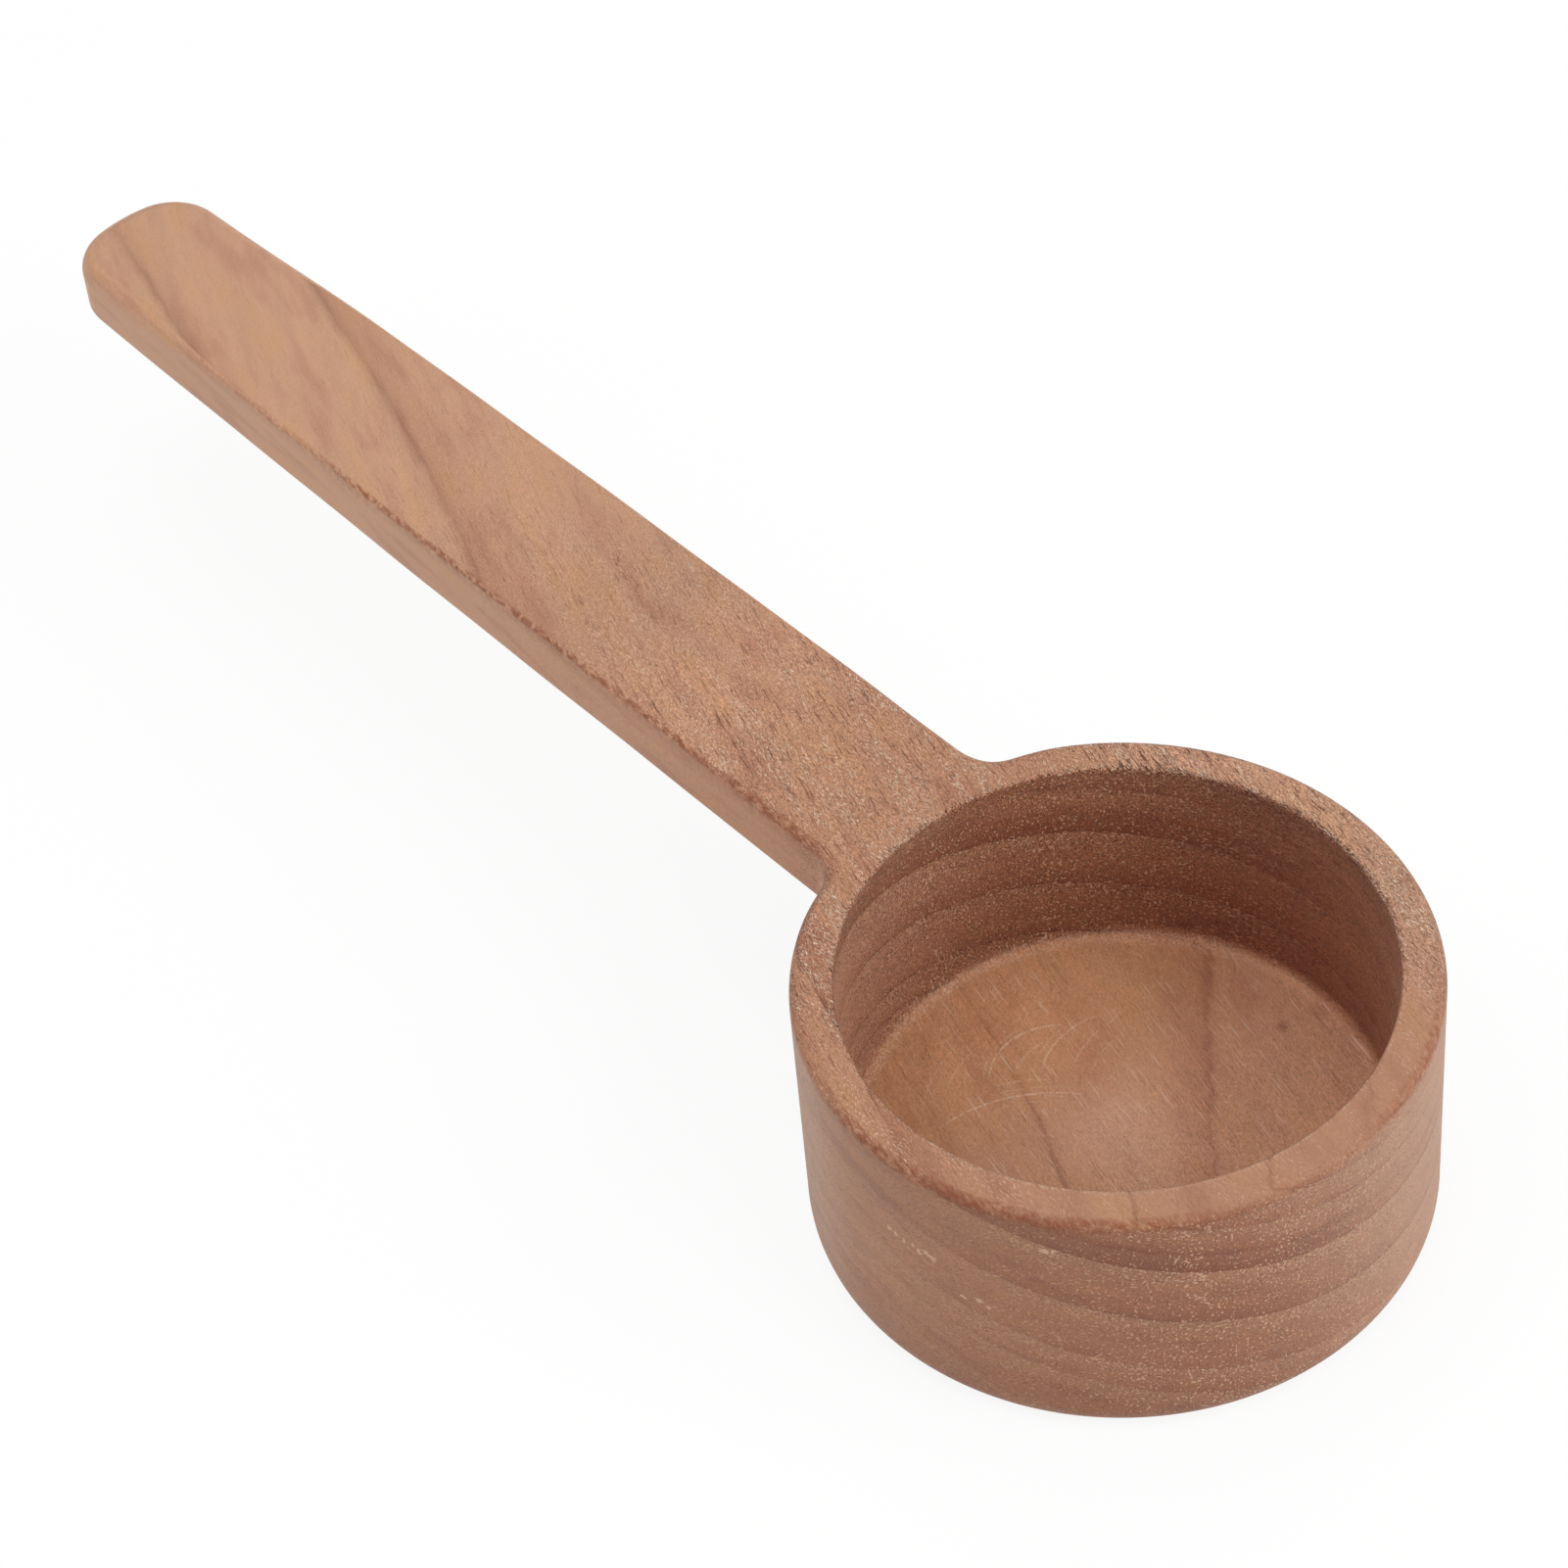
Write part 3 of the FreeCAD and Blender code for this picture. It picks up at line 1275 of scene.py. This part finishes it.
    def layers(self, here: Surface) -> Layers:
        """Lines between layers, with the dark wood above and the pale wood below each.

        A line's width is measured on the surface: the distance in the stack is divided by how quickly
        the height changes along the surface, which is 1 on a wall and less on a level face. Lines are
        drawn wider on level faces.

        Args:
            here: the point.

        Returns:
            The layers.
        """
        height = self.layer_height(here)
        steep = 1.0 - here.level * (0.78 - 0.25 * here.x.band(25.0, 75.0))
        per_surface, per_fade = steep ** -1.0, (0.25 + 0.75 * steep) ** -1.0
        wide = 1.0 + here.level * 0.8
        on_cup = 1.0 - here.x.band(12.0, 22.0)
        line, halo, late, early = [], [], [], []
        for ring in self.rings:
            strength = on_cup * ring.strength if ring.cup_only else ring.strength
            gap = height - ring.place
            off, far = gap * per_surface, gap * per_fade
            above = off.band(-0.1, 0.1)
            line.append((abs(off) / wide).band(0.17, 0.03) * strength)
            halo.append(abs(off).band(0.9, 0.0) * strength)
            late.append(far.band(ring.fade, 0.0) * above * ring.dark)
            early.append(far.band(-3.0, 0.0) * (1.0 - above) * strength)
        return Layers(height, sum(line), sum(halo), sum(late), sum(early))

    def crispness(self, here: Surface) -> Signal:
        """How open the grain is.

        It is strongest on end grain, in the bore and on the rim's -Y side, full at the cup and the root, and
        smooth towards the tip, on the handle's sides, on the floor, on the front of the rim and on both
        ends of the cup's outer wall.

        Args:
            here: the point.

        Returns:
            A factor for the fine contrast.
        """
        x, y, z, level = here.x, here.y, here.z, here.level
        top = z.band(24.2, 24.8)
        root = 1.0 + level * x.band(5.0, 20.0) * x.band(60.0, 40.0) * 0.4
        outward = x.band(110.0, 40.0).to(0.2, 1.0) * root
        side = 1.0 - x.band(27.0, 32.0) * level.band(0.7, 0.2) * 0.6
        front = 1.0 - top * x.band(8.0, -14.0) * y.band(-19.0, -12.0) * 0.65
        flank = 1.0 - here.wall * (y.band(8.0, -10.0) * 0.5 + y.band(12.0, 22.0) * 0.3)
        back = 1.0 + top * y.band(-10.0, -18.0) * 0.7
        cup = 1.0 + here.inside * 0.9 - here.floor * x.band(5.0, -9.0).to(0.45, 0.1)
        return outward * side * front * flank * back * (1.0 + 0.35 * here.end_grain) * cup

    def fibres(self, here: Surface, layers: Layers) -> Grain:
        """Fine grain: noise drawn out along the fibres, in two directions that cross at a small angle.

        Args:
            here: the point.
            layers: the growth layers, since the open wood has more filled and open pores.

        Returns:
            The grain.
        """
        graph = here.graph
        wavy = replace(here, across=here.across + (here.drawn(0.5, 0.5, 1.0) - 0.5) * 0.4)

        def leaning(lean: float, along: float, across: float) -> Signal:
            """Noise drawn out along a direction that leans from the fibres."""
            ahead, aside = here.along + lean * here.across, wavy.across - lean * here.along
            return graph.noise(graph.point(ahead * along, aside * across, here.z * across), 0.0)

        left, right = leaning(0.3, 2.4, 12.0), leaning(-0.2, 2.6, 13.0)
        tube, vein, hair = wavy.drawn(0.6, 4.6, 0.0), wavy.drawn(0.5, 6.0, 1.0), wavy.drawn(0.2, 5.0, 1.0)
        clump, tuft = here.drawn(0.1, 0.5), here.drawn(0.16, 1.1, 1.0)
        spread = (clump - 0.5) * 0.25
        bare = (0.6 * clump + 0.4 * tuft).band(0.56, 0.42).to(0.15, 1.1)
        strokes = (left.band(0.64, 0.74) + right.band(0.66, 0.76)) * bare
        fine = (left + right) * 0.5 + here.drawn(7.0, 9.0, 0.0) * 0.7 - 0.85
        dots = (tube + layers.early * 0.05 - layers.late * 0.03 + spread).band(0.63, 0.75)
        pores = (vein - layers.early * 0.05 - spread).band(0.38, 0.29)
        pores = pores + hair.band(0.38, 0.3) * tuft.band(0.48, 0.6) * 0.9
        return Grain(strokes, fine, dots, pores, fine + strokes * 0.4 - vein.band(0.36, 0.26) * 0.5)

    # Colours

    def brightness(self, here: Surface, streak: Signal, patch: Signal) -> Signal:
        """How light the wood is: the tones with their painted light and shade, slow noise, and faint level
        scratches in the upper bore.

        Args:
            here: the point.
            streak: slow noise along the fibres, about 0.
            patch: slow noise within the layers, about 0.5.

        Returns:
            A factor for the colour.
        """
        scratches = (here.strewn(0.12, 5.0, 2.0) - 0.5) * here.z.band(8.0, 22.0) * here.inside
        tones_and_shading = sum(tone.at(here) for tone in self.tones_and_shading)
        return 1.0 + streak * 0.22 + (patch - 0.5) * 0.12 + scratches * 0.4 + tones_and_shading

    def plain(self, here: Surface, layers: Layers, patch: Signal) -> Socket:
        """Colour of the wood without lines and grain, with painted sheen, light and shade mixed in.

        Args:
            here: the point.
            layers: the growth layers.
            patch: slow noise within the layers, about 0.5.

        Returns:
            The colour.
        """
        x, y, z, paint = here.x, here.y, here.z, here.graph.paint
        # Darker towards the cup, lighter towards the tip: partly the wood, partly painted light, stronger at
        # the tip.
        colour = paint(x.band(95.0, 15.0), linear(*self.body), self.cup_tint, Blend.TINT)
        colour = paint(here.end_grain * 0.85, colour, self.end_tint, Blend.TINT)
        colour = paint(patch.band(0.5, 0.3) * 0.6, colour, self.red_tint, Blend.TINT)
        colour = paint(patch.band(0.5, 0.7) * 0.7, colour, self.tan_tint, Blend.TINT)
        # Paler, greyer colour: partly the wood, partly painted sheen and light.
        pale = sum(tone.at(here) for tone in self.pale_and_sheen_tones) + here.floor * patch * 0.12
        colour = paint(pale, colour, self.pale)
        by_line = here.floor * layers.height.band(6.1, 6.9) * layers.height.band(7.2, 6.95)
        # Painted shade on the outer wall, redder and darker towards its foot; by_line is reddish wood beside
        # the floor's second line.
        red = here.outer * z.band(10.0, 3.0) * 0.3 + by_line * 0.6
        colour = paint(red, colour, self.red_tint, Blend.TINT)
        colour = paint(here.floor * x.band(3.0, 11.0), colour, self.honey_tint, Blend.TINT)
        # Darker on the bore's -Y side, more so low down: partly darker wood, partly painted shade.
        bore_dark_and_shade = here.inside * y.band(-12.0, -23.0) * z.band(26.0, 8.0).to(0.65, 1.0)
        return paint(bore_dark_and_shade, colour, self.bore_wood_and_shade_tint, Blend.TINT)

    def ringed(self, here: Surface, layers: Layers, colour: Socket) -> Socket:
        """Adds the growth layers, which are weaker on the handle's sides and low on the cup, and a pin knot.

        Args:
            here: the point.
            layers: the growth layers.
            colour: the plain colour.

        Returns:
            The new colour.
        """
        level, end_grain, floor = here.level, here.end_grain, here.floor
        low = 1.0 - here.outer * layers.height.band(10.5, 8.5) * 0.5
        flank = here.wall * here.y.band(12.0, -8.0)
        late = layers.late * (0.15 + 0.85 * end_grain + 0.2 * level)
        late = late * (1.0 - here.side * 0.8) * (1.0 - flank * 0.75) * low
        colour = here.graph.paint(late, colour, self.late_tint, Blend.TINT)
        early = layers.early * (0.08 + 0.14 * end_grain) * (1.0 - floor) * (1.0 - here.inside * 0.5)
        colour = here.graph.paint(early, colour, self.early)
        breaks = here.drawn(0.12, 0.35).band(0.32, 0.55).to(0.45, 1.0)
        on_handle = here.x.band(24.0, 32.0) * level
        depth = 0.12 + 0.38 * end_grain + 0.4 * level - 0.42 * on_handle - 0.22 * floor + 0.28 * here.inside
        both = layers.line * depth + layers.halo * (0.07 + 0.1 * floor + 0.2 * on_handle)
        aside, ahead = here.x + 1.0, here.y + 17.3
        knot = (aside * aside + ahead * ahead).root().band(0.8, 0.1) * floor * 0.5
        return here.graph.paint(both * breaks * (1.0 - here.side) * low + knot, colour, self.line)

    def flecked(self, here: Surface, grain: Grain, crisp: Signal, colour: Socket) -> Socket:
        """Adds open pores, filled pores on end grain, and loose fibres on level faces, which are painted
        pale partly as glints.

        Args:
            here: the point.
            grain: the fibres.
            crisp: how open the grain is.
            colour: the colour so far.

        Returns:
            The new colour.
        """
        loose = here.level.band(0.5, 0.9) * here.z.band(4.0, 5.0) * here.x.band(85.0, 42.0).to(0.15, 1.0)
        loose = loose * (1.0 - here.floor * 0.55)
        filled = here.end_grain * (0.52 - 0.16 * here.inside)
        colour = here.graph.paint(grain.pores * crisp * (0.42 - 0.12 * here.floor), colour, self.pore)
        colour = here.graph.paint(grain.dots * crisp * filled, colour, self.dot)
        # Loose fibres on level faces painted pale: partly their colour, partly painted glints.
        return here.graph.paint(grain.strokes * crisp * loose * 0.62, colour, self.fleck)

    def marked(self, here: Surface, colour: Socket) -> Socket:
        """Adds the floor's marks with the painted highlight in its corner, the pits in the outer wall and
        the burnish stored on the mesh.

        Args:
            here: the point.
            colour: the colour so far.

        Returns:
            The new colour.
        """
        ragged = (here.strewn(4.0, 4.0, 1.0) - 0.5) * 5.0
        pits = sum(speck.spot(here, ragged) for speck in self.specks)
        stored = here.graph.add("ShaderNodeAttribute", attribute_name="burnish", attribute_type="GEOMETRY")
        worn = Signal(here.graph, stored.outputs["Fac"]) * here.drawn(1.3, 2.5, 3.0, 0.6).band(0.34, 0.62)
        colour = here.graph.paint(self.floor_marks(here) * 0.75, colour, self.fleck)
        colour = here.graph.paint(pits * 0.7, colour, self.dot)
        return here.graph.paint(worn * 0.8, colour, self.rubbed)

    def floor_marks(self, here: Surface) -> Signal:
        """Pale marks on the floor: the cutter's arcs, hairlines along the fibres, and a painted highlight
        along the corner by the wall.

        Args:
            here: the point.

        Returns:
            How pale the mark is, from 0 to 1.
        """
        arcs = sum(mark.stroke(here) for mark in self.marks) * here.strewn(2.5, 1.0, 2.0).band(0.35, 0.6)
        where = here.graph.point(here.along * 0.3, here.across * 6.0, here.z * 2.0)
        hair = here.graph.noise(where, 0.0).band(0.68, 0.8)
        # Painted highlight: a pale ragged band along the corner where the floor meets the wall on the +X
        # side.
        corner = here.far.band(20.4, 21.1) * here.z.band(6.3, 5.7) * here.x.band(2.0, 12.0)
        corner_highlight = corner * here.strewn(5.0, 5.0, 1.0).band(0.45, 0.7) * 0.5
        flat = here.z.band(6.0, 5.7)
        return (flat * (arcs + hair * 0.55) + corner_highlight) * here.z.band(3.0, 4.0) * here.far.band(22.6, 22.2)

    def shade(self, graph: NodeGraph, colour: Socket, height: Signal, streak: Signal) -> None:
        """Adds the shader: a satin surface with relief from pores and fibres.

        Args:
            graph: the material's nodes.
            colour: the wood's colour.
            height: relief, about a unit high.
            streak: slow noise along the fibres, which varies the gloss.
        """
        relief = graph.add("ShaderNodeBump")
        relief.inputs["Strength"].default_value = 0.7
        relief.inputs["Distance"].default_value = 0.09 * MM
        graph.feed(relief.inputs["Height"], height)
        shader = graph.add("ShaderNodeBsdfPrincipled")
        graph.feed(shader.inputs["Base Color"], colour)
        graph.feed(shader.inputs["Roughness"], 0.52 + streak * 0.25)
        graph.feed(shader.inputs["Normal"], relief.outputs[0])
        shader.inputs["Specular IOR Level"].default_value = 0.32
        shader.inputs["Sheen Weight"].default_value = 0.08
        shader.inputs["Sheen Roughness"].default_value = 0.4
        graph.feed(graph.add("ShaderNodeOutputMaterial").inputs[0], shader.outputs[0])


# Studio


@dataclass(frozen=True)
class Lamp:
    """A square soft lamp.

    Attributes:
        name: its name.
        place: where it hangs, in metres.
        side: its side, in metres.
        watts: its power.
    """

    name: str
    place: Triple
    side: float
    watts: float

    def hang(self, target: Triple) -> None:
        """Hangs the lamp so that it faces a target.

        Args:
            target: what it faces, in metres.
        """
        lamp = bpy.data.lights.new(self.name, "AREA")
        lamp.size = self.side
        lamp.energy = self.watts
        holder = bpy.data.objects.new(self.name, lamp)
        holder.location = self.place
        aim = Vector(target) - Vector(self.place)
        holder.rotation_euler = aim.to_track_quat("-Z", "Y").to_euler()
        bpy.context.scene.collection.objects.link(holder)


@dataclass
class Studio:
    """White floor, soft light and the camera.

    Attributes:
        camera_place: where the camera stands, in millimetres.
        right, down, ahead: the camera's own directions.
        focal_pixels: focal length in pixels of the photograph.
        floor_side: side of the floor, in metres.
        paper: how white the floor is, from 0 to 1.
        glow, glow_share: strength of the white that the camera sees there, and its share over the paper.
        room_light: strength of the even light that falls on the spoon.
        target: what the lamps face, in metres.
        lamps: the lamps.
    """

    camera_place: Triple = (-182.19, 166.49, 296.56)
    right: Triple = (-0.65393, -0.75315, -0.07178)
    down: Triple = (-0.5042, 0.50457, -0.70084)
    ahead: Triple = (0.56406, -0.42211, -0.70969)
    focal_pixels: float = 4815.2
    floor_side: float = 6.0
    paper: float = 0.8
    glow: float = 1.05
    glow_share: float = 0.84
    room_light: float = 0.42
    target: Triple = (0.03, 0.0, 0.015)
    lamps: tuple[Lamp, ...] = (
        Lamp("top_light", (0.03, 0.3, 1.17), 0.9, 3.8),
        Lamp("right_light", (-0.92, -0.42, 0.65), 1.1, 8.6),
        Lamp("back_light", (0.5, -0.4, 1.05), 0.9, 1.7),
        Lamp("left_light", (0.3, 1.0, 0.6), 0.9, 1.6),
    )

    def place_camera(self) -> None:
        """Sets the camera at the photograph's viewpoint."""
        lens = bpy.data.cameras.new("camera")
        lens.sensor_width = 36.0
        lens.lens = self.focal_pixels / PHOTO_SIDE * lens.sensor_width
        lens.clip_start = 0.01
        camera = bpy.data.objects.new("camera", lens)
        turned = np.eye(4)
        turned[:3, :3] = np.array([self.right, -np.array(self.down), -np.array(self.ahead)]).T
        turned[:3, 3] = np.array(self.camera_place) * MM
        camera.matrix_world = Matrix(turned.tolist())
        bpy.context.scene.collection.objects.link(camera)
        bpy.context.scene.camera = camera

    def lay_floor(self) -> None:
        """Lays a floor that shows white, with a faint shadow under the spoon."""
        half = self.floor_side / 2
        corners = [(-half, -half, 0), (half, -half, 0), (half, half, 0), (-half, half, 0)]
        mesh = bpy.data.meshes.new("floor")
        mesh.from_pydata(corners, [], [(0, 1, 2, 3)])
        floor = bpy.data.objects.new("floor", mesh)
        bpy.context.scene.collection.objects.link(floor)
        material = bpy.data.materials.new("white_floor")
        material.use_nodes = True
        graph = NodeGraph(material.node_tree)
        paper = graph.add("ShaderNodeBsdfDiffuse")
        paper.inputs[0].default_value = (self.paper, self.paper, self.paper, 1.0)
        glow = graph.add("ShaderNodeEmission")
        glow.inputs["Strength"].default_value = self.glow
        blend = graph.add("ShaderNodeMixShader")
        shown = graph.fill(blend, graph.seen() * self.glow_share, paper.outputs[0], glow.outputs[0])
        graph.feed(graph.add("ShaderNodeOutputMaterial").inputs[0], shown)
        mesh.materials.append(material)

    def light_world(self) -> None:
        """Surrounds the scene with even light that the camera sees as white."""
        world = bpy.data.worlds.new("white_room")
        world.use_nodes = True
        bpy.context.scene.world = world
        graph = NodeGraph(world.node_tree)
        back = graph.add("ShaderNodeBackground")
        graph.feed(back.inputs["Strength"], graph.seen().to(self.room_light, 1.0))
        graph.feed(graph.add("ShaderNodeOutputWorld").inputs[0], back.outputs[0])

    def build(self) -> None:
        """Builds the floor, the light and the camera, and keeps colours as they are written."""
        self.lay_floor()
        self.light_world()
        for lamp in self.lamps:
            lamp.hang(self.target)
        self.place_camera()
        bpy.context.scene.view_settings.view_transform = "Standard"


def main() -> None:
    """Builds the studio and the spoon, and reports each."""
    logging.basicConfig(level=logging.INFO, format="%(message)s")
    Studio().build()
    log.info("studio: floor, light and camera")
    scoop = Scoop()
    piece = scoop.build()
    scoop.dress(piece, WoodFinish())
    log.info("%s: %d faces", piece.name, len(piece.data.polygons))


if __name__ == "__main__":
    main()
